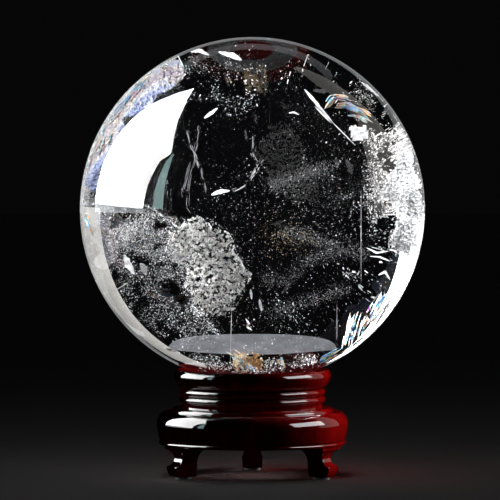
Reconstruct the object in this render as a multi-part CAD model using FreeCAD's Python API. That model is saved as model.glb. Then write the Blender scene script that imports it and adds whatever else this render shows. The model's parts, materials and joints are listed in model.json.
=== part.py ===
"""Crystal ball on a turned wooden stand.

A polished rock-crystal sphere rests on a soft ring in the cup of a turned collar. The collar has a rounded lip
and two beads, and its spigot is glued into a wide turned base. Three screws from below clamp the two together.
The base stands on three carved feet, each with a dowel and a felt pad. A well runs down the middle of the stand.

Frame: millimetres, +Z up. The origin is on the stand's axis, on the table. -Y is the front, and two feet point
forward, each 60 degrees from it. Each sub-part is written to parts/NODE.step.
"""

import FreeCAD
import Part

import math
import os

from FreeCAD import Vector

# Driving dimensions
BALL_DIAMETER = 100.0
STAND_HEIGHT = 31.0
BALL_SINK = 3.6  # how far the ball's lowest point lies below the collar's top
BASE_RADIUS = 27.75
LIP_RADIUS = 22.9

# Heights of the stand's parts, from the table up
PAD_THICKNESS = 0.8
FOOT_HEIGHT = 8.5
BASE_THICKNESS = 10.85
BASE_UNDERSIDE = PAD_THICKNESS + FOOT_HEIGHT
BASE_TOP = BASE_UNDERSIDE + BASE_THICKNESS

# Ball
BALL_RADIUS = BALL_DIAMETER / 2
BALL_CENTRE_Z = STAND_HEIGHT - BALL_SINK + BALL_RADIUS

# Collar
NECK_RADIUS = 20.3
BEAD_RADIUS = 21.2
BEAD_PITCH = 2.2
NECK_HEIGHT = 1.15  # of the plain part under the beads
ARRIS_GAP = 0.2  # from the upper bead to the edge that the lip band springs from
LIP_ROUNDING = 1.9  # height of the lip's rounded edge
LIP_CREST = 0.8  # from the lip's side in to its top
SEAT_RADIUS = 17.6  # outer edge of the spherical seat
WELL_RADIUS = 13.0
SPIGOT_RADIUS = 17.45
SPIGOT_LENGTH = 2.9

# Soft ring in the cup
RING_SEAT_RADIUS = 16.4
RING_SEAT_Z = 28.0
RING_OUTER_RADIUS = 16.25
RING_INNER_RADIUS = 13.6
RING_EDGE = 0.4
WOOD_GAP = 0.15  # between the ball and the wooden seat
RING_GAP = 0.05  # between the ball and the uncompressed ring

# Base
SOCKET_RADIUS = 17.5
SOCKET_DEPTH = 3.0
BASE_WELL_RADIUS = 12.0
STEP_RADIUS = 23.7
STEP_HEIGHT = 1.3  # of the rounded step that the collar stands on
SHOULDER_HEIGHT = 3.5
SHOULDER_DEPTH = 1.9
SHOULDER_BULGE = 0.5
BASE_BEAD_HEIGHT = 1.2
QUIRK_WIDTH = 0.3

# Feet
FOOT_ANGLES = {"front_left": 210.0, "front_right": 330.0, "rear": 90.0}
FOOT_BACK_TOP = 18.6
FOOT_BACK_BOTTOM = 20.4
FOOT_FRONT = 26.3
FOOT_ANKLE = 24.7
FOOT_TOE = 27.0
TOE_HEIGHT = 2.9  # of the toe's upper edge, above the foot's underside
FOOT_HALF_WIDTH_TOP = 5.2
FOOT_HALF_WIDTH_ANKLE = 2.6
FOOT_HALF_WIDTH_TOE = 3.05
FOOT_HALF_WIDTH_BOTTOM = 2.85
FOOT_EDGE_RADIUS = 0.35

# Dowels, pads and screws
DOWEL_RADIUS = 1.5
DOWEL_LENGTH = 8.0
DOWEL_PLACE = 22.4  # distance from the stand's axis
PAD_RADIUS = 2.3
PAD_PLACE = 23.0
SCREW_ANGLES = (30.0, 150.0, 270.0)
SCREW_PLACE = 15.25
SCREW_LENGTH = 14.0
SCREW_RADIUS = 1.1
SCREW_HEAD_RADIUS = 2.1
SCREW_HEAD_HEIGHT = 1.2
SCREW_POINT = 2.0
CROSS_WIDTH = 0.5
CROSS_LENGTH = 2.4
CROSS_DEPTH = 0.7
FIT_GAP = 0.03  # radial room round dowels and screws, which glue or wood fibres fill

AXIS = Vector(0, 0, 1)


def at(radius, height):
    """A point of a turned section: its distance from the axis and its height."""
    return Vector(radius, 0, height)


def line(start, end):
    return Part.LineSegment(start, end).toShape()


def arc(start, middle, end):
    return Part.Arc(start, middle, end).toShape()


def bulged(start, end, bulge):
    """An arc from start to end whose middle stands out from the chord, to the right of the way it runs."""
    chord = end - start
    out = chord.cross(Vector(0, 1, 0)).normalize()
    return arc(start, (start + end) * 0.5 - out * bulge, end)


def closed_face(edges):
    return Part.Face(Part.Wire(edges))


def turned(edges):
    """The solid that a lathe makes of a closed section."""
    return closed_face(edges).revolve(Vector(0, 0, 0), AXIS, 360)


def rotated(shape, angle):
    copy = shape.copy()
    copy.rotate(Vector(0, 0, 0), AXIS, angle)
    return copy


def cylinder(radius, low, high, place=0.0):
    return Part.makeCylinder(radius, high - low, at(place, low), AXIS)


def on_sphere(radius, sphere_radius):
    """The point at this distance from the axis on the underside of a sphere about the ball's centre."""
    return at(radius, BALL_CENTRE_Z - math.sqrt(sphere_radius ** 2 - radius ** 2))


def seat_arc(inner, outer, gap):
    """An arc that follows the ball's underside at a small distance, from inner to outer."""
    sphere = BALL_RADIUS + gap
    middle = (inner + outer) / 2
    return arc(on_sphere(inner, sphere), on_sphere(middle, sphere), on_sphere(outer, sphere))


def crystal_ball():
    return Part.makeSphere(BALL_RADIUS, Vector(0, 0, BALL_CENTRE_Z))


def cushion_ring():
    """A soft ring with a dished top that the ball beds into, loose in its rabbet."""
    sphere = BALL_RADIUS + RING_GAP
    top_outer = on_sphere(RING_OUTER_RADIUS - RING_EDGE, sphere)
    top_inner = on_sphere(RING_INNER_RADIUS + RING_EDGE, sphere)
    shoulder_outer = at(RING_OUTER_RADIUS, top_outer.z - RING_EDGE)
    shoulder_inner = at(RING_INNER_RADIUS, top_inner.z - RING_EDGE)
    foot_inner = at(RING_INNER_RADIUS, RING_SEAT_Z)
    foot_outer = at(RING_OUTER_RADIUS, RING_SEAT_Z)
    return turned([
        line(foot_inner, foot_outer),
        line(foot_outer, shoulder_outer),
        line(shoulder_outer, top_outer),
        seat_arc(RING_OUTER_RADIUS - RING_EDGE, RING_INNER_RADIUS + RING_EDGE, RING_GAP),
        line(top_inner, shoulder_inner),
        line(shoulder_inner, foot_inner),
    ])


def collar_outline():
    """The outer section of the collar, from its underside up to the inner edge of its top face."""
    foot = at(NECK_RADIUS, BASE_TOP)
    here = at(NECK_RADIUS, BASE_TOP + NECK_HEIGHT)
    edges = [line(foot, here)]
    for _ in range(2):
        top = here + Vector(0, 0, BEAD_PITCH)
        edges.append(bulged(here, top, BEAD_RADIUS - NECK_RADIUS))
        here = top
    arris = at(BEAD_RADIUS - 0.1, here.z + ARRIS_GAP)
    edges.append(line(here, arris))
    band_top = at(LIP_RADIUS, STAND_HEIGHT - LIP_ROUNDING)
    band_middle = at(LIP_RADIUS - 0.6, (arris.z + band_top.z) / 2)
    edges.append(arc(arris, band_middle, band_top))
    crest = at(LIP_RADIUS - LIP_CREST, STAND_HEIGHT)
    edges.append(bulged(band_top, crest, LIP_CREST * 0.27))
    seat_edge = on_sphere(SEAT_RADIUS, BALL_RADIUS + WOOD_GAP)
    edges.append(line(crest, seat_edge))
    return edges, foot


def collar():
    """The turned cup: lip band, two beads and a neck, with a spigot below that the base's socket takes."""
    edges, neck_foot = collar_outline()
    rabbet_top = on_sphere(RING_SEAT_RADIUS, BALL_RADIUS + WOOD_GAP)
    rabbet_corner = at(RING_SEAT_RADIUS, RING_SEAT_Z)
    well_top = at(WELL_RADIUS, RING_SEAT_Z)
    spigot_end = BASE_TOP - SPIGOT_LENGTH
    well_bottom = at(WELL_RADIUS, spigot_end)
    spigot_corner = at(SPIGOT_RADIUS, spigot_end)
    shoulder = at(SPIGOT_RADIUS, BASE_TOP)
    edges += [
        seat_arc(SEAT_RADIUS, RING_SEAT_RADIUS, WOOD_GAP),
        line(rabbet_top, rabbet_corner),
        line(rabbet_corner, well_top),
        line(well_top, well_bottom),
        line(well_bottom, spigot_corner),
        line(spigot_corner, shoulder),
        line(shoulder, neck_foot),
    ]
    solid = turned(edges)
    for angle in SCREW_ANGLES:
        solid = solid.cut(rotated(screw_hole(), angle))
    return solid


def base_disc():
    """The wide turned base: a thin bead below, a short side, a round shoulder and a round step on top."""
    under_inner = at(BASE_WELL_RADIUS, BASE_UNDERSIDE)
    under_outer = at(BASE_RADIUS - 1.2, BASE_UNDERSIDE)
    bead_top = under_outer + Vector(0, 0, BASE_BEAD_HEIGHT)
    quirk = at(BASE_RADIUS - 1.4, bead_top.z + QUIRK_WIDTH / 2)
    side_foot = at(BASE_RADIUS - 0.8, bead_top.z + QUIRK_WIDTH)
    side_top = at(BASE_RADIUS, BASE_TOP - STEP_HEIGHT - SHOULDER_HEIGHT)
    side_middle = at(BASE_RADIUS - 0.25, (side_foot.z + side_top.z) / 2)
    shoulder_top = at(BASE_RADIUS - SHOULDER_DEPTH, BASE_TOP - STEP_HEIGHT)
    step_foot = at(STEP_RADIUS, BASE_TOP - STEP_HEIGHT)
    step_top = at(STEP_RADIUS - STEP_HEIGHT, BASE_TOP)
    socket_edge = at(SOCKET_RADIUS, BASE_TOP)
    socket_corner = at(SOCKET_RADIUS, BASE_TOP - SOCKET_DEPTH)
    socket_inner = at(BASE_WELL_RADIUS, BASE_TOP - SOCKET_DEPTH)
    solid = turned([
        line(under_inner, under_outer),
        bulged(under_outer, bead_top, BASE_BEAD_HEIGHT / 2),
        line(bead_top, quirk),
        line(quirk, side_foot),
        arc(side_foot, side_middle, side_top),
        bulged(side_top, shoulder_top, SHOULDER_BULGE),
        line(shoulder_top, step_foot),
        bulged(step_foot, step_top, STEP_HEIGHT * 0.29),
        line(step_top, socket_edge),
        line(socket_edge, socket_corner),
        line(socket_corner, socket_inner),
        line(socket_inner, under_inner),
    ])
    for angle in SCREW_ANGLES:
        solid = solid.cut(rotated(screw_hole(), angle))
    for angle in FOOT_ANGLES.values():
        solid = solid.cut(rotated(dowel_hole(), angle))
    return solid


def foot_side_view():
    """The foot's section along a radius of the stand: a hollow front that sweeps out to the toe."""
    floor = PAD_THICKNESS
    top = BASE_UNDERSIDE
    toe = at(FOOT_TOE, floor + TOE_HEIGHT)
    front_top = at(FOOT_FRONT, top - 0.8)
    ankle = at(FOOT_ANKLE, floor + 5.3)
    toe_bottom = at(FOOT_TOE - 1.1, floor)
    back_bottom = at(FOOT_BACK_BOTTOM, floor)
    back_top = at(FOOT_BACK_TOP, top)
    return [
        line(back_top, at(FOOT_FRONT, top)),
        line(at(FOOT_FRONT, top), front_top),
        arc(front_top, ankle, toe),
        bulged(toe, toe_bottom, -0.35),
        line(toe_bottom, back_bottom),
        bulged(back_bottom, back_top, 0.35),
    ]


def foot_front_view():
    """The foot's outline seen from outside: brackets under the base, a narrow ankle and a wider toe."""
    floor = PAD_THICKNESS
    top = BASE_UNDERSIDE

    def across(half_width, height):
        return Vector(0, half_width, height)

    edges = []
    for side in (1, -1):
        bottom = across(side * FOOT_HALF_WIDTH_BOTTOM, floor)
        toe = across(side * FOOT_HALF_WIDTH_TOE, floor + TOE_HEIGHT)
        ankle = across(side * FOOT_HALF_WIDTH_ANKLE, floor + 5.2)
        bracket = across(side * FOOT_HALF_WIDTH_TOP, top - 0.7)
        corner = across(side * FOOT_HALF_WIDTH_TOP, top)
        edges += [line(bottom, toe), arc(toe, ankle, bracket), line(bracket, corner)]
    edges.append(line(across(-FOOT_HALF_WIDTH_BOTTOM, floor), across(FOOT_HALF_WIDTH_BOTTOM, floor)))
    edges.append(line(across(-FOOT_HALF_WIDTH_TOP, top), across(FOOT_HALF_WIDTH_TOP, top)))
    return Part.__sortEdges__(edges)


def foot():
    """One carved foot, on the +X side of the stand."""
    reach = FOOT_TOE + 1
    side = closed_face(foot_side_view()).extrude(Vector(0, 4 * FOOT_HALF_WIDTH_TOP, 0))
    side.translate(Vector(0, -2 * FOOT_HALF_WIDTH_TOP, 0))
    front = closed_face(foot_front_view()).extrude(Vector(reach, 0, 0))
    solid = side.common(front)
    soft_edges = [edge for edge in solid.Edges if on_outer_corner(edge)]
    solid = solid.makeFillet(FOOT_EDGE_RADIUS, soft_edges)
    return solid.cut(dowel_hole())


def on_outer_corner(edge):
    """True for the two long edges between the foot's front and its sides, below the base."""
    middle = edge.CenterOfMass
    tall = edge.BoundBox.ZLength > 1.5
    return tall and middle.x > FOOT_ANKLE - 0.5 and abs(middle.y) > FOOT_HALF_WIDTH_ANKLE - 0.8


def dowel_hole():
    middle = BASE_UNDERSIDE
    half = DOWEL_LENGTH / 2 + 0.1
    return cylinder(DOWEL_RADIUS + FIT_GAP, middle - half, middle + half, DOWEL_PLACE)


def dowel():
    """A beech dowel with chamfered ends, half in the foot and half in the base."""
    low = BASE_UNDERSIDE - DOWEL_LENGTH / 2
    pin = cylinder(DOWEL_RADIUS, low, low + DOWEL_LENGTH, DOWEL_PLACE)
    ends = [edge for edge in pin.Edges if edge.BoundBox.ZLength < 0.01]
    return pin.makeChamfer(0.3, ends)


def foot_pad():
    return cylinder(PAD_RADIUS, 0, PAD_THICKNESS, PAD_PLACE)


def screw_section(gap):
    """Half of a countersunk screw's section about its own axis, head down on the base's underside."""
    head = BASE_UNDERSIDE
    neck = head + SCREW_HEAD_HEIGHT
    tip = head + SCREW_LENGTH
    shank = SCREW_RADIUS + gap
    points = [
        at(0, head),
        at(SCREW_HEAD_RADIUS + gap, head),
        at(SCREW_HEAD_RADIUS + gap, head + 0.2),
        at(shank, neck),
        at(shank, tip - SCREW_POINT + gap),
        at(0, tip + gap),
    ]
    return [line(a, b) for a, b in zip(points, points[1:] + points[:1])]


def screw_hole():
    hole = turned(screw_section(FIT_GAP))
    hole.translate(Vector(SCREW_PLACE, 0, 0))
    return hole


def collar_screw():
    """A countersunk wood screw with a cross recess, drawn without its thread."""
    screw = turned(screw_section(0.0))
    for length, width in ((CROSS_LENGTH, CROSS_WIDTH), (CROSS_WIDTH, CROSS_LENGTH)):
        corner = Vector(-length / 2, -width / 2, BASE_UNDERSIDE)
        screw = screw.cut(Part.makeBox(length, width, CROSS_DEPTH, corner))
    screw.translate(Vector(SCREW_PLACE, 0, 0))
    return screw


def nodes():
    """Every sub-part by name, in place."""
    found = {
        "crystal_ball": crystal_ball(),
        "cushion_ring": cushion_ring(),
        "collar": collar(),
        "base_disc": base_disc(),
    }
    for place, angle in FOOT_ANGLES.items():
        found[f"foot_{place}"] = rotated(foot(), angle)
        found[f"foot_dowel_{place}"] = rotated(dowel(), angle)
        found[f"foot_pad_{place}"] = rotated(foot_pad(), angle)
    for number, angle in enumerate(SCREW_ANGLES, 1):
        found[f"collar_screw_{number}"] = rotated(collar_screw(), angle)
    return found


def main():
    os.makedirs("parts", exist_ok=True)
    for name, shape in nodes().items():
        shape.exportStep(f"parts/{name}.step")
        box = shape.BoundBox
        print(
            f"{name}: valid {shape.isValid()}, {len(shape.Solids)} solid, {shape.Volume:.1f} mm3, "
            f"z {box.ZMin:.2f} to {box.ZMax:.2f}, x {box.XMin:.2f} to {box.XMax:.2f}"
        )


main()
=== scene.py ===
"""Crystal ball on a turned, red-lacquered stand: materials, flaws, lights and camera."""

import json
import math
import random

import bmesh
import bpy
from mathutils import Matrix, Vector, noise


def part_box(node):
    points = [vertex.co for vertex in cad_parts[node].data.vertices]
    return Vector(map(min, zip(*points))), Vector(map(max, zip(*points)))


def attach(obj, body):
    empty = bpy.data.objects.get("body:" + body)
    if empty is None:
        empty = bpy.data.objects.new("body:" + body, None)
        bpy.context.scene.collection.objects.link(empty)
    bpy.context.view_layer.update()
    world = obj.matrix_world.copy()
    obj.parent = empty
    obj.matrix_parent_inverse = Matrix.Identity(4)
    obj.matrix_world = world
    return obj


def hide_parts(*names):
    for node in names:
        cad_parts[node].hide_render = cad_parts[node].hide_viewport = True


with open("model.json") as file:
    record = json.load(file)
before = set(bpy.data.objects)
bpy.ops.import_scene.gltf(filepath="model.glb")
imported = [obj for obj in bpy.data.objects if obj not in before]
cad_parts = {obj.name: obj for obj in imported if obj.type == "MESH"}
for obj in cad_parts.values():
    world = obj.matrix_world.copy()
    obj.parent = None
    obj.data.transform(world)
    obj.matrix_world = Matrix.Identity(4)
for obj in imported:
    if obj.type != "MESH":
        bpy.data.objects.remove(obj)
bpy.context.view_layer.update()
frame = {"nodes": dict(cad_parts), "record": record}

MM = 0.001

BALL_LOW, BALL_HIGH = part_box("crystal_ball")
BALL_RADIUS = (BALL_HIGH.z - BALL_LOW.z) / 2
BALL_CENTRE = Vector((0, 0, BALL_LOW.z + BALL_RADIUS))
QUARTZ_IOR = 1.544

CAMERA_DISTANCE = 1.4
CAMERA_HEIGHT = 0.112
AIM = Vector((-0.0007, 0, 0.0657))
FRONT_EYE = Vector((AIM.x, -CAMERA_DISTANCE, CAMERA_HEIGHT))
VIEW_WIDTH = 0.145  # how much of the object's plane the picture's width takes in
SENSOR = 36.0
FLOOR_RADIUS = 3.0
PANEL_DISTANCE = 3.0

LIMB_EDGE = 0.985  # the furthest out that a flaw shows, as a share of the ball's disc
DEPTH_MARGIN = 0.02  # how far flaws keep from the surface, as a share of the way through

# Lamps light one of these only, so that the crystal, the stand and the floor can be lit apart.
FLAWS = bpy.data.collections.new("flaws")
STAND = bpy.data.collections.new("stand_pieces")
STAGE = bpy.data.collections.new("stage_pieces")
GLASS = bpy.data.collections.new("glass_pieces")


# Materials

def new_material(name, **inputs):
    """A material with one Principled shader, and that shader."""
    material = bpy.data.materials.new(name)
    material.use_nodes = True
    shader = material.node_tree.nodes["Principled BSDF"]
    for key, value in inputs.items():
        shader.inputs[key.replace("_", " ")].default_value = value
    return material, shader


def add_node(material, kind, **inputs):
    node = material.node_tree.nodes.new(kind)
    for key, value in inputs.items():
        node.inputs[key.replace("_", " ")].default_value = value
    return node


def object_noise(material, scale, detail=4.0, roughness=0.6, stretch=(1, 1, 1), distortion=0.0):
    """A noise texture in the object's own coordinates, in metres."""
    links = material.node_tree.links
    place = add_node(material, "ShaderNodeTexCoord")
    mapping = add_node(material, "ShaderNodeMapping", Scale=stretch)
    links.new(place.outputs["Object"], mapping.inputs["Vector"])
    texture = add_node(
        material, "ShaderNodeTexNoise",
        Scale=scale, Detail=detail, Roughness=roughness, Distortion=distortion,
    )
    links.new(mapping.outputs["Vector"], texture.inputs["Vector"])
    return texture


def ramp(material, source, stops):
    """A colour ramp on a value, with stops of (position, colour)."""
    node = material.node_tree.nodes.new("ShaderNodeValToRGB")
    elements = node.color_ramp.elements
    while len(elements) < len(stops):
        elements.new(0.5)
    for element, (position, colour) in zip(elements, stops):
        element.position = position
        element.color = (*colour, 1)
    material.node_tree.links.new(source, node.inputs["Fac"])
    return node


def quartz():
    """Clear glassy quartz with the faintest uneven tint."""
    material, shader = new_material(
        "rock_crystal", Roughness=0.0, IOR=QUARTZ_IOR, Transmission_Weight=1.0
    )
    cloud = object_noise(material, 18.0)
    tint = ramp(material, cloud.outputs["Fac"], [(0.3, (0.97, 0.985, 1.0)), (0.7, (1.0, 1.0, 1.0))])
    material.node_tree.links.new(tint.outputs["Color"], shader.inputs["Base Color"])
    return material


def varied(name, scale, stops, stretch=(1, 1, 1), detail=4.0, distortion=0.0, **inputs):
    """A material whose colour varies with a noise.

    scale is in waves a metre, stops are the colour ramp's, and inputs are the shader's.
    """
    material, shader = new_material(name, **inputs)
    texture = object_noise(material, scale, detail=detail, stretch=stretch, distortion=distortion)
    colour = ramp(material, texture.outputs["Fac"], stops)
    material.node_tree.links.new(colour.outputs["Color"], shader.inputs["Base Color"])
    return material


RAINBOW = [
    (0.30, (0.02, 0.04, 0.35)), (0.38, (0.28, 0.48, 0.80)), (0.45, (0.02, 0.35, 0.45)),
    (0.50, (0.65, 0.75, 0.70)), (0.55, (0.70, 0.32, 0.05)), (0.62, (0.80, 0.70, 0.62)),
    (0.70, (0.30, 0.06, 0.45)),
]
# Colours that paint the bright band and the glow along the crystal's left limb.
PAINTED_LIMB_GLOW = [
    (0.30, (0.015, 0.02, 0.04)), (0.42, (0.10, 0.12, 0.22)), (0.50, (0.25, 0.27, 0.34)),
    (0.58, (0.26, 0.23, 0.22)), (0.68, (0.09, 0.07, 0.13)),
]
MATERIALS = {
    "rock_crystal": quartz(),
    "clear_silicone": varied(
        "clear_silicone", 350.0, [(0.3, (0.50, 0.52, 0.53)), (0.7, (0.64, 0.66, 0.67))],
        Roughness=0.3, IOR=1.41, Transmission_Weight=0.9,
    ),
    "red_lacquer": varied(
        "red_lacquer", 240.0, [(0.3, (0.04, 0.0006, 0.0006)), (0.7, (0.17, 0.0015, 0.0015))],
        stretch=(1, 1, 0.12), distortion=0.4, Roughness=0.45, IOR=1.45, Specular_IOR_Level=0.0,
        Coat_Weight=1.0, Coat_Roughness=0.02, Coat_IOR=1.46,
    ),
    "beech": varied(
        "beech", 420.0, [(0.35, (0.42, 0.26, 0.14)), (0.6, (0.62, 0.44, 0.27))],
        stretch=(1, 1, 0.08), detail=8.0, distortion=0.3, Roughness=0.6,
    ),
    "felt": varied(
        "felt", 1600.0, [(0.35, (0.02, 0.018, 0.018)), (0.65, (0.08, 0.07, 0.07))],
        detail=8.0, distortion=2.0, Roughness=0.95, Sheen_Weight=0.6, Sheen_Roughness=0.4,
    ),
    "zinced_steel": varied(
        "zinced_steel", 700.0, [(0.3, (0.48, 0.50, 0.52)), (0.7, (0.70, 0.70, 0.66))],
        stretch=(1, 1, 0.3), Roughness=0.3, Metallic=1.0,
    ),
    "flaw_white": varied(
        "flaw_white", 1500.0, [(0.35, (0.6, 0.62, 0.66)), (0.6, (1.0, 1.0, 1.0))],
        Roughness=0.3, Metallic=0.2,
    ),
    "flaw_frost": varied(
        "flaw_frost", 1100.0, [(0.40, (0.40, 0.40, 0.41)), (0.52, (1.0, 0.99, 0.97))],
        Roughness=0.4, Metallic=0.2,
    ),
    "flaw_smoke": varied(
        "flaw_smoke", 300.0, [(0.3, (0.2, 0.2, 0.21)), (0.7, (0.45, 0.45, 0.47))], Roughness=0.6
    ),
    # Warm gold flaws; the same colour paints the orange caustic low in the ball.
    "gold_flaw_and_painted_caustic": varied(
        "gold_flaw_and_painted_caustic", 900.0, [(0.3, (0.85, 0.50, 0.14)), (0.7, (1.0, 0.88, 0.62))], Roughness=0.5
    ),
    "painted_limb_glow": varied("painted_limb_glow", 60.0, PAINTED_LIMB_GLOW, detail=3.0, distortion=1.2, Roughness=0.6),
    "flaw_iridescent": varied(
        "flaw_iridescent", 230.0, RAINBOW,
        detail=2.0, distortion=1.5, Roughness=0.3, Metallic=0.3,
    ),
}


def dress_nodes():
    """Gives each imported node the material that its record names."""
    slots = {part["node"]: part["material_slot"] for part in frame["record"]["subparts"]}
    for name, node in frame["nodes"].items():
        node.data.materials.clear()
        node.data.materials.append(MATERIALS[slots[name]])
        node.data.shade_smooth()
        if name != "crystal_ball":
            STAND.objects.link(node)


# Ball

def make_ball():
    """A fine sphere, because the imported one's facets would show through the glass."""
    shape = bmesh.new()
    bmesh.ops.create_icosphere(shape, subdivisions=7, radius=BALL_RADIUS)
    for face in shape.faces:
        face.smooth = True
    mesh = bpy.data.meshes.new("quartz_sphere")
    shape.to_mesh(mesh)
    shape.free()
    ball = bpy.data.objects.new("quartz_sphere", mesh)
    ball.location = BALL_CENTRE
    ball.visible_shadow = False
    ball.visible_diffuse = False
    GLASS.objects.link(ball)
    bpy.context.scene.collection.objects.link(ball)
    mesh.materials.append(MATERIALS["rock_crystal"])
    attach(ball, "ball")
    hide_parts("crystal_ball")
    return ball


# Flaws in the crystal

def new_piece(name, corners, faces, material):
    """A mesh from corners given relative to the ball's centre; it turns and lifts with the ball."""
    mesh = bpy.data.meshes.new(name)
    mesh.from_pydata([BALL_CENTRE + corner for corner in corners], [], faces)
    mesh.materials.append(MATERIALS[material])
    piece = bpy.data.objects.new(name, mesh)
    bpy.context.scene.collection.objects.link(piece)
    FLAWS.objects.link(piece)
    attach(piece, "ball")
    return piece


def refracted(ray, normal, ratio):
    """Snell's law: the way a ray goes on through a face; ratio is the index before over that behind."""
    facing = -ray.dot(normal)
    across = 1 - ratio ** 2 * (1 - facing ** 2)
    return ratio * ray + (ratio * facing - math.sqrt(across)) * normal


def inside(u, v, depth):
    """The point that shows at u across and v up the ball's disc from the front, in shares of its radius.

    A depth of 0 is the near surface and 1 is the far one, along the ray that the quartz bends.
    """
    start = FRONT_EYE - BALL_CENTRE
    right = Vector((0, 0, 1)).cross(start).normalized()
    up = start.normalized().cross(right)
    limb = BALL_RADIUS / math.sqrt(1 - (BALL_RADIUS / start.length) ** 2)
    reach = math.hypot(u, v)
    if reach > LIMB_EDGE:
        u *= LIMB_EDGE / reach
        v *= LIMB_EDGE / reach
    ray = (limb * (u * right + v * up) - start).normalized()
    along = -start.dot(ray)
    entry = start + (along - math.sqrt(along ** 2 - start.length_squared + BALL_RADIUS ** 2)) * ray
    within = refracted(ray, entry.normalized(), 1 / QUARTZ_IOR)
    chord = -2 * entry.dot(within)
    kept = DEPTH_MARGIN + (1 - 2 * DEPTH_MARGIN) * min(max(depth, 0), 1)
    return entry + kept * chord * within


def in_outline(u, v, outline):
    """True if (u, v) lies in a closed outline of such points."""
    within = False
    for (u1, v1), (u2, v2) in zip(outline, outline[1:] + outline[:1]):
        if (v1 > v) != (v2 > v) and u < u1 + (v - v1) * (u2 - u1) / (v2 - v1):
            within = not within
    return within


def bounds_of(outline):
    """The left, right, lowest and highest of an outline."""
    across = [u for u, _ in outline]
    up = [v for _, v in outline]
    return min(across), max(across), min(up), max(up)


def between(path, step):
    """The point at a step along a path of (u, v) points, where whole steps are its points."""
    whole = min(int(step), len(path) - 2)
    (u1, v1), (u2, v2) = path[whole:whole + 2]
    share = step - whole
    return u1 + share * (u2 - u1), v1 + share * (v2 - v1)


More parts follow.
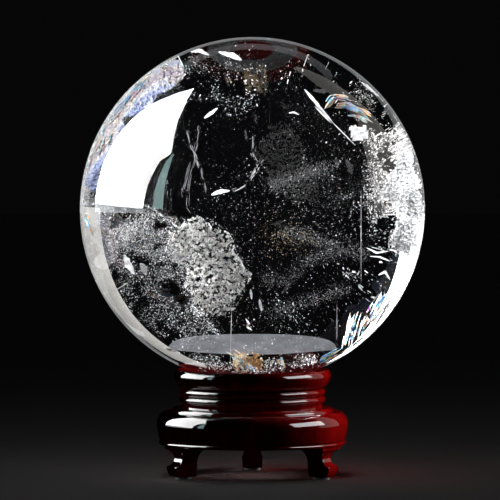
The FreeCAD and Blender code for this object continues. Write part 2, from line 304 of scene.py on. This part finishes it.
class Flaws:
    """Gathers broken flakes, ribbons and frosted sheets and makes them one piece."""

    def __init__(self, seed):
        self.dice = random.Random(seed)
        self.corners = []
        self.faces = []

    def any_direction(self):
        return Vector([self.dice.gauss(0, 1) for _ in range(3)]).normalized()

    def flake(self, centre, size, sides, slim):
        """One flat broken flake with uneven corners, lying any way round."""
        long_way = self.any_direction()
        short_way = long_way.cross(self.any_direction()).normalized()
        first = len(self.corners)
        for corner in range(sides):
            angle = math.tau * (corner + self.dice.uniform(-0.3, 0.3)) / sides
            reach = size / 2 * self.dice.uniform(0.6, 1.0)
            self.corners.append(
                centre + reach * (math.cos(angle) * long_way + slim * math.sin(angle) * short_way)
            )
        self.faces.append(list(range(first, first + sides)))

    def fill(self, outline, count, depth, size, clump=-0.3, grain=6.0, soft=0.03, slim=0.6, sides=4):
        """Flakes on a wavy sheet over an outline with soft edges, none where a noise is below clump.

        depth is (at the left, at the right, spread) and size is (smallest, largest) in millimetres.
        """
        dice = self.dice
        low_u, high_u, low_v, high_v = bounds_of(outline)
        made = 0
        while made < count:
            u = dice.uniform(low_u - soft, high_u + soft)
            v = dice.uniform(low_v - soft, high_v + soft)
            if not in_outline(u + dice.gauss(0, soft), v + dice.gauss(0, soft), outline):
                continue
            if noise.fractal(Vector((u, v, 0.37)) * grain, 1.0, 2.0, 3) < clump + dice.gauss(0, 0.08):
                continue
            share = (u - low_u) / (high_u - low_u)
            wave = depth[2] * noise.noise(Vector((u, v, 2.1)) * 5)
            sunk = depth[0] + share * (depth[1] - depth[0]) + wave + dice.gauss(0, depth[2] / 4)
            large = size[0] + (size[1] - size[0]) * dice.random() ** 4
            self.flake(inside(u, v, sunk), large * MM, sides, slim)
            made += 1

    def trail(self, path, count, spread, depth, size, slim=0.5, sides=4):
        """Flakes strung along a path; depth runs from its start to its end."""
        dice = self.dice
        for _ in range(count):
            step = dice.uniform(0, len(path) - 1)
            u, v = between(path, step)
            share = step / (len(path) - 1)
            sunk = depth[0] + share * (depth[1] - depth[0]) + dice.gauss(0, 0.01)
            place = inside(u + dice.gauss(0, spread), v + dice.gauss(0, spread), sunk)
            self.flake(place, dice.uniform(*size) * MM, sides, slim)

    def ribbon(self, path, width, depth, steps=32, ragged=0.5, tilt=0.004):
        """A sliver along a path, pointed at both ends, with its edges at slightly different depths."""
        first = len(self.corners)
        start = self.dice.uniform(0, 100)
        for index in range(steps + 1):
            share = index / steps
            step = share * (len(path) - 1)
            u, v = between(path, step)
            ahead = between(path, min(step + 0.2, len(path) - 1))
            behind = between(path, max(step - 0.2, 0))
            run = Vector((ahead[0] - behind[0], ahead[1] - behind[1])).normalized()
            taper = math.sin(math.pi * share) ** 0.7
            sunk = depth[0] + share * (depth[1] - depth[0])
            for side in (-1, 1):
                uneven = 1 + ragged * noise.noise(Vector((start + share * steps / 4, side * 5.3, 0)))
                out = side * width / 2 * taper * uneven
                self.corners.append(inside(u - run.y * out, v + run.x * out, sunk + side * tilt))
        for index in range(steps):
            near = first + 2 * index
            self.faces.append([near, near + 1, near + 3, near + 2])

    def streaks(self, path, count, spread, width, depth, span=0.5):
        """Slivers side by side, each along a part of a path."""
        dice = self.dice
        for _ in range(count):
            start = dice.uniform(0, 1 - span) * (len(path) - 1)
            end = start + span * dice.uniform(0.5, 1) * (len(path) - 1)
            shift = Vector((dice.gauss(0, spread), dice.gauss(0, spread)))
            part = [between(path, start + share * (end - start)) for share in (0, 0.33, 0.67, 1)]
            moved = [(u + shift.x, v + shift.y) for u, v in part]
            sunk = depth + dice.gauss(0, 0.01)
            self.ribbon(moved, width * dice.uniform(0.4, 1), (sunk, sunk + 0.02), steps=12)

    def sheet(self, outline, cell, depth, lace=None, grain=20.0, ragged=0.02, rough=0.004):
        """A wavy sheet over an outline with ragged edges, holed where a noise is below lace.

        cell is the size of its small facets, as a share of the ball's radius.
        """
        dice = self.dice
        low_u, high_u, low_v, high_v = bounds_of(outline)
        columns = int((high_u - low_u + 2 * ragged) / cell)
        rows = int((high_v - low_v + 2 * ragged) / cell)
        known = {}

        def corner(column, row):
            if (column, row) not in known:
                u = low_u - ragged + (column + dice.uniform(-0.3, 0.3)) * cell
                v = low_v - ragged + (row + dice.uniform(-0.3, 0.3)) * cell
                share = (u - low_u) / (high_u - low_u)
                wave = depth[2] * noise.noise(Vector((u, v, 2.1)) * 5)
                sunk = depth[0] + share * (depth[1] - depth[0]) + wave + dice.gauss(0, rough)
                known[column, row] = len(self.corners)
                self.corners.append(inside(u, v, sunk))
            return known[column, row]

        for column in range(columns):
            for row in range(rows):
                u = low_u - ragged + (column + 0.5) * cell
                v = low_v - ragged + (row + 0.5) * cell
                shift_u = 1.5 * ragged * noise.noise(Vector((u, v, 7.7)) * 12)
                shift_v = 1.5 * ragged * noise.noise(Vector((u, v, 31.3)) * 12)
                if not in_outline(u + shift_u, v + shift_v, outline):
                    continue
                crumb = noise.fractal(Vector((u, v, 0.9)) * grain, 0.5, 2.2, 4)
                if lace is not None and crumb < lace + dice.gauss(0, 0.05):
                    continue
                square = [(column, row), (column + 1, row), (column + 1, row + 1), (column, row + 1)]
                self.faces.append([corner(*spot) for spot in square])

    def finish(self, name, material):
        return new_piece(name, self.corners, self.faces, material)


CRUST = [
    (-0.37, -0.06), (-0.26, -0.07), (-0.16, -0.13), (-0.11, -0.25), (-0.04, -0.30), (-0.04, -0.41),
    (-0.08, -0.52), (-0.13, -0.59), (-0.18, -0.62), (-0.25, -0.57), (-0.35, -0.57), (-0.37, -0.47),
    (-0.41, -0.35), (-0.48, -0.30), (-0.50, -0.21), (-0.45, -0.13),
]
CRUST_TAIL = [(-0.36, -0.57), (-0.29, -0.61), (-0.20, -0.72)]
VEIL = [
    (-0.86, 0.07), (-0.57, 0.0), (-0.36, -0.12), (-0.36, -0.5), (-0.15, -0.68), (-0.4, -0.82),
    (-0.75, -0.6), (-0.86, -0.3),
]
VEIL_TOP = [(-0.90, 0.05), (-0.57, 0.0), (-0.33, -0.10), (-0.40, -0.30), (-0.62, -0.27), (-0.80, -0.22)]
VEIL_EDGE = [(-0.94, 0.02), (-0.86, 0.07), (-0.74, 0.08), (-0.57, 0.0), (-0.42, -0.11), (-0.30, -0.13)]
RIGHT_WHITE = [
    (0.88, 0.37), (0.93, 0.34), (0.985, 0.11), (0.98, -0.09), (0.88, -0.07), (0.81, 0.03),
    (0.75, 0.11), (0.79, 0.23),
]
RIGHT_LOWER = [(0.86, -0.05), (0.95, -0.05), (0.95, -0.20), (0.90, -0.27), (0.84, -0.22), (0.82, -0.12)]
RIGHT_CLOUD = [
    (0.72, 0.53), (0.80, 0.54), (0.90, 0.40), (0.96, 0.2), (0.95, -0.2), (0.85, -0.25),
    (0.72, -0.15), (0.66, 0.11), (0.68, 0.29), (0.65, 0.41),
]
CLOUD_TOP = [(0.60, 0.76), (0.72, 0.68), (0.84, 0.54), (0.72, 0.52), (0.60, 0.66)]
TOP_CLUSTER = [(-0.24, 0.72), (-0.08, 0.77), (0.04, 0.70), (-0.03, 0.56), (-0.19, 0.55), (-0.32, 0.62)]
TOP_ARC = [(-0.66, 0.62), (-0.59, 0.72), (-0.45, 0.78), (-0.30, 0.83), (-0.07, 0.83), (0.06, 0.80)]
MIDDLE = [
    (-0.25, 0.15), (0.1, 0.25), (0.35, 0.22), (0.68, 0.3), (0.70, -0.25), (0.3, -0.3), (-0.1, -0.28),
]
WHOLE = [(0.95 * math.cos(a * math.tau / 24), 0.95 * math.sin(a * math.tau / 24)) for a in range(24)]
LOWER = [
    (-0.5, -0.6), (0.0, -0.35), (0.3, -0.6), (0.55, -0.6), (0.4, -0.88), (0.0, -0.95), (-0.45, -0.86),
]
SPARKLE = [(0.52, -0.35), (0.56, -0.34), (0.62, -0.36), (0.61, -0.42), (0.54, -0.42)]
WHITE_QUAD = [(0.56, 0.48), (0.65, 0.49), (0.67, 0.42), (0.59, 0.40)]
# Where a painted bright band with dispersion colours runs along the left limb.
PAINTED_LIMB_BAND = [
    (-0.97, 0.12), (-0.95, 0.25), (-0.90, 0.38), (-0.76, 0.62), (-0.60, 0.77), (-0.44, 0.87),
    (-0.40, 0.80), (-0.56, 0.66), (-0.68, 0.54), (-0.80, 0.36), (-0.88, 0.16),
]
# Where a painted glow lies just inside the left limb.
LEFT_GLOW = [
    (-0.91, -0.01), (-0.87, -0.03), (-0.81, -0.15), (-0.77, -0.26), (-0.73, -0.35), (-0.78, -0.34),
    (-0.84, -0.25), (-0.89, -0.13),
]
BEIGE_PATCH = [(-0.79, -0.09), (-0.70, -0.08), (-0.66, -0.15), (-0.69, -0.22), (-0.75, -0.20)]
CUP_RIM = [
    (-0.38, -0.84), (-0.20, -0.86), (0.10, -0.87), (0.38, -0.84), (0.36, -0.90), (0.0, -0.95),
    (-0.30, -0.92),
]
# Where a painted orange caustic lies low in the middle of the ball.
PAINTED_CAUSTIC = [(-0.12, -0.84), (-0.04, -0.83), (0.05, -0.87), (0.04, -0.93), (-0.03, -0.95), (-0.09, -0.92)]
PAINTED_CAUSTIC_LEFT = [(-0.10, -0.84), (-0.04, -0.83), (-0.02, -0.88), (-0.05, -0.94), (-0.11, -0.91)]
GOLD_DUST = [(0.08, -0.08), (0.20, -0.05), (0.34, -0.11), (0.32, -0.22), (0.18, -0.24), (0.07, -0.18)]
SMOKE_BANDS = [
    [(0.05, -0.40), (0.18, -0.42), (0.33, -0.30), (0.45, -0.25), (0.67, -0.25)],
    [(0.15, -0.12), (0.30, -0.15), (0.45, -0.20), (0.67, -0.25)],
    [(0.10, 0.14), (0.18, 0.17), (0.30, 0.21), (0.43, 0.24)],
    [(0.10, -0.60), (0.25, -0.55), (0.42, -0.50), (0.55, -0.45)],
]


def make_crust():
    """The snowy crust low on the left, a holed frosted sheet with loose grains on it, and its tail."""
    flaws = Flaws(1)
    flaws.sheet(CRUST, 0.0032, (0.30, 0.42, 0.05), lace=0.02, grain=48, ragged=0.04)
    flaws.finish("flaw_crust", "flaw_frost")
    grains = Flaws(11)
    grains.fill(
        CRUST, 7000, (0.28, 0.40, 0.05), (0.1, 0.6), clump=-0.08, grain=30, soft=0.02, slim=0.4
    )
    grains.trail(CRUST_TAIL, 160, 0.012, (0.36, 0.40), (0.2, 0.7))
    grains.finish("flaw_crust_grains", "flaw_white")


def make_veil():
    """The grainy veil left of the crust, with its sharp upper edge, and the dust below both."""
    flaws = Flaws(2)
    flaws.fill(
        VEIL, 11000, (0.25, 0.40, 0.06), (0.08, 0.6), clump=-0.12, grain=9, soft=0.02, slim=0.3
    )
    flaws.fill(
        VEIL_TOP, 10000, (0.25, 0.36, 0.05), (0.08, 0.5), clump=-0.25, grain=12, soft=0.02, slim=0.4
    )
    flaws.fill(LOWER, 900, (0.3, 0.5, 0.2), (0.15, 0.6), clump=-0.1, grain=9, soft=0.04)
    flaws.trail(VEIL_EDGE, 420, 0.003, (0.22, 0.36), (0.2, 0.5))
    flaws.finish("flaw_veil", "flaw_white")


def make_right_cloud():
    """The bright cleft near the right limb, with the grainy cloud round it."""
    plate = Flaws(3)
    plate.sheet(RIGHT_WHITE, 0.008, (0.50, 0.42, 0.05), ragged=0.03, rough=0.002)
    plate.sheet(RIGHT_LOWER, 0.008, (0.45, 0.42, 0.03), ragged=0.02, rough=0.002)
    plate.finish("flaw_right_cleft", "flaw_white")
    flaws = Flaws(4)
    flaws.fill(RIGHT_CLOUD, 9500, (0.5, 0.7, 0.10), (0.08, 0.6), clump=-0.15, grain=12, slim=0.4)
    flaws.fill(CLOUD_TOP, 700, (0.5, 0.6, 0.10), (0.08, 0.5), clump=-0.1, grain=12, slim=0.4)
    flaws.finish("flaw_right_cloud", "flaw_frost")


def make_specks():
    """Bright specks near the top, in a band across the middle, and thinly everywhere."""
    flaws = Flaws(5)
    flaws.fill(TOP_CLUSTER, 520, (0.4, 0.5, 0.1), (0.08, 0.6), clump=-0.02, grain=12, soft=0.04)
    flaws.trail(TOP_ARC, 300, 0.022, (0.5, 0.4), (0.08, 0.5))
    flaws.fill(MIDDLE, 2600, (0.35, 0.6, 0.15), (0.06, 0.35), clump=-0.3, grain=3, soft=0.15)
    flaws.fill(WHOLE, 4200, (0.2, 0.7, 0.5), (0.06, 0.4), soft=0.02)
    flaws.fill(CUP_RIM, 2600, (0.25, 0.5, 0.1), (0.08, 0.7), clump=-0.1, grain=10, soft=0.01)
    flaws.finish("flaw_specks", "flaw_white")


def make_bright_flakes():
    """The single flakes, slivers and fine cracks that catch the light."""
    flaws = Flaws(6)
    slivers = [
        ([(-0.36, 0.915), (-0.31, 0.925), (-0.25, 0.895)], 0.025, 0.3),
        ([(-0.20, 0.915), (-0.12, 0.895), (-0.06, 0.865)], 0.030, 0.3),
        ([(-0.28, 0.53), (-0.20, 0.59)], 0.018, 0.35),
        ([(-0.24, 0.085), (-0.19, 0.105), (-0.13, 0.11)], 0.025, 0.3),
        ([(0.30, 0.70), (0.36, 0.63), (0.47, 0.50)], 0.018, 0.35),
        ([(0.36, 0.60), (0.46, 0.50)], 0.010, 0.35),
        ([(0.46, 0.51), (0.60, 0.37)], 0.006, 0.36),
        ([(0.63, 0.74), (0.69, 0.70), (0.76, 0.64)], 0.022, 0.5),
        ([(-0.745, -0.26), (-0.72, -0.32), (-0.685, -0.375)], 0.040, 0.25),
        ([(-0.65, -0.31), (-0.63, -0.34), (-0.615, -0.38)], 0.036, 0.27),
        ([(-0.01, -0.46), (-0.005, -0.52)], 0.014, 0.3),
        ([(0.04, -0.52), (0.055, -0.59)], 0.018, 0.3),
        ([(-0.04, -0.63), (-0.02, -0.66), (-0.03, -0.68), (0.0, -0.70)], 0.014, 0.3),
        ([(0.66, -0.22), (0.72, -0.25), (0.79, -0.24)], 0.012, 0.4),
        ([(0.68, -0.27), (0.74, -0.275), (0.80, -0.30)], 0.010, 0.4),
        ([(0.73, -0.38), (0.77, -0.36), (0.80, -0.41)], 0.014, 0.4),
        ([(0.21, 0.56), (0.24, 0.565), (0.27, 0.55)], 0.010, 0.4),
        ([(-0.51, -0.80), (-0.47, -0.815), (-0.42, -0.83)], 0.016, 0.2),
    ]
    for path, width, depth in slivers:
        flaws.ribbon(path, width, (depth, depth + 0.03))
    flaws.fill(SPARKLE, 34, (0.30, 0.32, 0.01), (0.5, 1.7), clump=-1, soft=0.006, slim=0.5)
    flaws.sheet(WHITE_QUAD, 0.01, (0.35, 0.36, 0.01), ragged=0.01, rough=0.001)
    flaws.finish("flaw_bright_flakes", "flaw_white")


def make_cracks():
    """The faint cracks and the straight needles that hang in the crystal."""
    flaws = Flaws(9)
    cracks = [
        [(-0.38, 0.48), (-0.36, 0.39), (-0.33, 0.30), (-0.37, 0.17), (-0.38, 0.03), (-0.33, -0.04)],
        [(-0.30, 0.51), (-0.32, 0.40), (-0.36, 0.26), (-0.42, 0.06)],
        [(-0.36, 0.38), (-0.30, 0.24), (-0.27, 0.08)],
        [(-0.13, 0.10), (-0.05, 0.13), (0.02, 0.22), (0.06, 0.30)],
        [(0.01, 0.43), (0.0, 0.34), (0.03, 0.26)],
        [(0.70, 0.22), (0.74, 0.08), (0.78, -0.10)],
    ]
    for path in cracks:
        flaws.streaks(path, 12, 0.006, 0.004, 0.33, span=0.2)
        flaws.trail(path, 60, 0.008, (0.32, 0.34), (0.08, 0.4))
    needles = [
        [(0.63, 0.11), (0.63, -0.44)],
        [(0.49, -0.54), (0.49, -0.76)],
        [(-0.12, -0.55), (-0.125, -0.75), (-0.13, -0.93)],
    ]
    for path in needles:
        flaws.ribbon(path, 0.003, (0.33, 0.33), ragged=1.2)
    flaws.finish("flaw_cracks", "flaw_smoke")


def make_rainbows():
    """Thin gaps in the crystal that split the light into colours, with painted dispersion colours, a
    painted bright band and a painted glow along the left limb, and painted caustic colours low in the
    middle.
    """
    flaws = Flaws(7)
    flaws.streaks([(0.43, 0.60), (0.47, 0.655), (0.53, 0.65), (0.60, 0.62)], 16, 0.010, 0.012, 0.36)
    wing = [(0.47, 0.60), (0.56, 0.60), (0.66, 0.55), (0.72, 0.50)]
    flaws.streaks(wing, 30, 0.020, 0.014, 0.37, span=0.35)
    flaws.streaks([(0.53, -0.80), (0.55, -0.68), (0.58, -0.57)], 16, 0.014, 0.009, 0.40)
    flaws.streaks([(0.58, -0.78), (0.61, -0.66), (0.65, -0.55)], 16, 0.018, 0.009, 0.40)
    flaws.streaks([(0.66, -0.70), (0.73, -0.58), (0.82, -0.42)], 26, 0.022, 0.010, 0.45)
    flaws.streaks([(0.40, -0.90), (0.55, -0.82), (0.68, -0.70)], 20, 0.014, 0.009, 0.40)
    # Slivers that paint the coloured caustic low in the middle of the ball.
    flaws.streaks([(-0.12, -0.84), (-0.05, -0.88), (0.0, -0.94)], 16, 0.020, 0.012, 0.30)
    flaws.streaks([(0.16, -0.85), (0.19, -0.92)], 8, 0.012, 0.012, 0.30)
    # Slivers that paint dispersion colours at the left limb's edge.
    flaws.streaks([(-0.965, -0.03), (-0.935, -0.10), (-0.91, -0.18)], 10, 0.012, 0.010, 0.50)
    # Slivers and flakes that paint dispersion colours along the left limb.
    painted_limb_colours = [(-0.95, 0.22), (-0.86, 0.46), (-0.70, 0.68), (-0.50, 0.83)]
    flaws.streaks(painted_limb_colours, 46, 0.030, 0.012, 0.50, span=0.2)
    flaws.fill(PAINTED_LIMB_BAND, 500, (0.4, 0.6, 0.1), (0.2, 1.2), slim=0.25, soft=0.02)
    flaws.fill(VEIL_TOP, 500, (0.24, 0.35, 0.05), (0.1, 0.5), soft=0.02)
    flaws.finish("flaw_rainbows", "flaw_iridescent")
    # A sheet and flakes that paint the bright band and the glow along the left limb.
    limb_glow_flakes = Flaws(12)
    limb_glow_flakes.sheet(PAINTED_LIMB_BAND, 0.009, (0.5, 0.5, 0.03), ragged=0.05)
    limb_glow_flakes.fill(LEFT_GLOW, 3200, (0.40, 0.40, 0.03), (0.1, 0.5), soft=0.02)
    limb_glow_flakes.finish("painted_limb_glow", "painted_limb_glow")


def make_smoke():
    """Faint smoky wisps of the finest dust, warm dust low in the ball, and a painted orange caustic at
    its bottom.
    """
    flaws = Flaws(8)
    for path in SMOKE_BANDS:
        flaws.trail(path, 1500, 0.028, (0.45, 0.55), (0.12, 0.3), sides=3)
    flaws.fill(BEIGE_PATCH, 1500, (0.35, 0.35, 0.03), (0.1, 0.4), soft=0.02)
    right_limb = [(0.97, -0.10), (0.93, -0.30), (0.82, -0.50), (0.68, -0.68)]
    flaws.streaks(right_limb, 34, 0.022, 0.007, 0.30, span=0.15)
    flaws.finish("flaw_smoke", "flaw_smoke")
    dust = Flaws(10)
    dust.fill(GOLD_DUST, 450, (0.4, 0.5, 0.1), (0.08, 0.3), soft=0.04)
    # This sheet and the flakes after it paint the orange caustic low in the ball.
    dust.sheet(PAINTED_CAUSTIC, 0.008, (0.30, 0.34, 0.04), lace=-0.1, grain=30, ragged=0.02)
    dust.fill(PAINTED_CAUSTIC_LEFT, 900, (0.26, 0.30, 0.04), (0.1, 0.5), soft=0.01)
    dust.finish("warm_dust_and_painted_caustic", "gold_flaw_and_painted_caustic")


# Floor, lights and camera

def make_floor():
    """A pale round floor that the crystal doesn't show, so that its inside stays dark."""
    shape = bmesh.new()
    bmesh.ops.create_circle(shape, cap_ends=True, segments=128, radius=FLOOR_RADIUS)
    mesh = bpy.data.meshes.new("floor")
    shape.to_mesh(mesh)
    shape.free()
    floor = bpy.data.objects.new("floor", mesh)
    bpy.context.scene.collection.objects.link(floor)
    stops = [(0.3, (0.70, 0.70, 0.69)), (0.7, (0.76, 0.76, 0.75))]
    mesh.materials.append(varied("pale_floor", 6.0, stops, Roughness=0.9, Specular_IOR_Level=0.0))
    floor.visible_glossy = False
    floor.visible_transmission = False
    STAGE.objects.link(floor)
    return floor


def aimed(location, target):
    """The matrix of something at location that looks at target."""
    look = (target - location).to_track_quat("-Z", "Y").to_matrix().to_4x4()
    return Matrix.Translation(location) @ look


def direction(azimuth, elevation):
    """The way to a light, in degrees; azimuth 0 is the front and 90 is the camera's left."""
    a = math.radians(azimuth)
    e = math.radians(elevation)
    return Vector((-math.sin(a) * math.cos(e), -math.cos(a) * math.cos(e), math.sin(e)))


def glowing_panel(name, outline, strength, colour, mottle=0.85, distance=PANEL_DISTANCE):
    """A light with the outline of (azimuth, elevation) corners, seen only in gloss and glass.

    mottle is how bright its dark parts are, as a share of its bright ones.
    """
    mesh = bpy.data.meshes.new(name)
    corners = [BALL_CENTRE + distance * direction(*corner) for corner in outline]
    mesh.from_pydata(corners, [], [list(range(len(corners)))])
    material = bpy.data.materials.new(name)
    material.use_nodes = True
    nodes = material.node_tree.nodes
    nodes.remove(nodes["Principled BSDF"])
    glow = nodes.new("ShaderNodeEmission")
    glow.inputs["Strength"].default_value = strength
    cloud = object_noise(material, 3.0)
    darker = tuple(mottle * channel for channel in colour)
    shade = ramp(material, cloud.outputs["Fac"], [(0.3, darker), (0.7, colour)])
    material.node_tree.links.new(shade.outputs["Color"], glow.inputs["Color"])
    material.node_tree.links.new(glow.outputs["Emission"], nodes["Material Output"].inputs["Surface"])
    mesh.materials.append(material)
    panel = bpy.data.objects.new(name, mesh)
    bpy.context.scene.collection.objects.link(panel)
    panel.visible_camera = False
    panel.visible_diffuse = False
    panel.visible_shadow = False
    return panel


def softbox(name, azimuth, elevation, distance, width, height, power, lights_only):
    """A soft lamp that lights one collection only."""
    data = bpy.data.lights.new(name, "AREA")
    data.shape = "RECTANGLE"
    data.size = width
    data.size_y = height
    data.energy = power
    lamp = bpy.data.objects.new(name, data)
    bpy.context.scene.collection.objects.link(lamp)
    lamp.matrix_world = aimed(BALL_CENTRE + distance * direction(azimuth, elevation), BALL_CENTRE)
    lamp.visible_camera = False
    lamp.light_linking.receiver_collection = lights_only
    return lamp


def swept(foot, head, power, steps=8):
    """Corners up a curved edge, where the azimuth changes with a power of the height."""
    shares = [step / steps for step in range(steps + 1)]
    return [
        (foot[0] + (head[0] - foot[0]) * share ** power, foot[1] + (head[1] - foot[1]) * share)
        for share in shares
    ]


WINDOW = [
    (77, 1), (76, 8), (75, 14), (71, 27), (65, 32), (67, 37), (78, 48), (92, 57), (115, 62),
    (118.5, 50), (122.5, 40), (126, 29), (128, 16), (129, 1),
]
WINDOW_SILL = [(77, 1), (129, 1), (129, -1.4), (77, -1.4)]
WINDOW_FRAME = swept((69, 1), (66, 28), 2) + swept((61, 1), (62.5, 33), 2)[::-1]
RIGHT_PANEL_NEAR = [(-88, -1.4), (-89, 20), (-96, 32), (-107, 38), (-107, -1.4)]
RIGHT_PANEL_FAR = [(-107, -1.4), (-107, 38), (-115, 50), (-124, 58), (-150, 60)]
RIGHT_PANEL_FAR += swept((-128, -1.4), (-152, 56), 5)[::-1]
ARCH_MIDDLE = 180
ARCH_REACH = 46
ARCH_LOW = 33
ARCH_HIGH = 44.5
ARCH_TIP = 50
REAR_RIM = [(140, 16), (220, 16), (220, -16), (140, -16)]


def crescent(middle, reach, low, high, tip, steps=12):
    """A crescent's (azimuth, elevation) corners: two arcs over the same reach that meet at its tips."""
    shares = [step / steps for step in range(-steps, steps + 1)]

    def arc(height, along):
        return [(middle + reach * share, height + (tip - height) * share ** 2) for share in along]

    return arc(low, shares) + arc(high, shares[-2:0:-1])


def make_floor_pool():
    """A dim pool of light on the floor round the stand."""
    data = bpy.data.lights.new("floor_pool", "SPOT")
    data.energy = 1.0
    data.spot_size = math.radians(36)
    data.spot_blend = 1.0
    data.shadow_soft_size = 0.25
    lamp = bpy.data.objects.new("floor_pool", data)
    bpy.context.scene.collection.objects.link(lamp)
    lamp.matrix_world = aimed(Vector((-0.3, -0.7, 0.9)), Vector((0, -0.12, 0)))
    lamp.light_linking.receiver_collection = STAGE


def make_world():
    world = bpy.data.worlds.new("dim_studio")
    world.use_nodes = True
    world.node_tree.nodes["Background"].inputs["Color"].default_value = (0.002, 0.002, 0.0022, 1)
    bpy.context.scene.world = world


def make_lights():
    """Panels that show in the crystal and the lacquer, and lamps for the flaws and the stand."""
    glowing_panel("left_window", WINDOW, 20.0, (1.0, 1.0, 1.0))
    glowing_panel("window_sill", WINDOW_SILL, 4.0, (0.9, 0.95, 1.0))
    glowing_panel("window_frame", WINDOW_FRAME, 6.0, (0.6, 0.9, 0.88))
    glowing_panel("right_panel_near", RIGHT_PANEL_NEAR, 0.9, (1.0, 0.97, 0.92))
    glowing_panel("right_panel_far", RIGHT_PANEL_FAR, 0.72, (1.0, 0.97, 0.92))
    arch = crescent(ARCH_MIDDLE, ARCH_REACH, ARCH_LOW, ARCH_HIGH, ARCH_TIP)
    glowing_panel("rear_arch", arch, 0.36, (0.9, 0.93, 1.0), mottle=0.5)
    rim = glowing_panel("rear_rim", REAR_RIM, 0.35, (0.95, 0.97, 1.0), distance=3.4)
    rim.visible_transmission = False
    rim.light_linking.receiver_collection = GLASS
    softbox("crystal_key", 62, 28, 1.1, 0.9, 0.9, 60.0, FLAWS)
    softbox("crystal_fill", -118, 28, 1.1, 0.9, 0.9, 30.0, FLAWS)
    shine = softbox("right_shine", -75, 20, 1.0, 0.85, 0.45, 14.0, STAND)
    shine.visible_diffuse = False
    glow = softbox("right_glow", -126, 18, 1.0, 0.9, 0.75, 42.0, STAND)
    glow.visible_glossy = False


def make_camera():
    """The camera at the photograph's viewing angle, far off so that the view is nearly flat."""
    data = bpy.data.cameras.new("camera")
    data.sensor_width = SENSOR
    data.lens = SENSOR * CAMERA_DISTANCE / VIEW_WIDTH
    camera = bpy.data.objects.new("camera", data)
    bpy.context.scene.collection.objects.link(camera)
    camera.matrix_world = aimed(FRONT_EYE, AIM)
    bpy.context.scene.camera = camera
    bpy.context.scene.view_settings.view_transform = "Standard"


make_camera()
dress_nodes()
make_ball()
make_crust()
make_veil()
make_right_cloud()
make_specks()
make_bright_flakes()
make_cracks()
make_rainbows()
make_smoke()
make_floor()
make_lights()
make_floor_pool()
make_world()
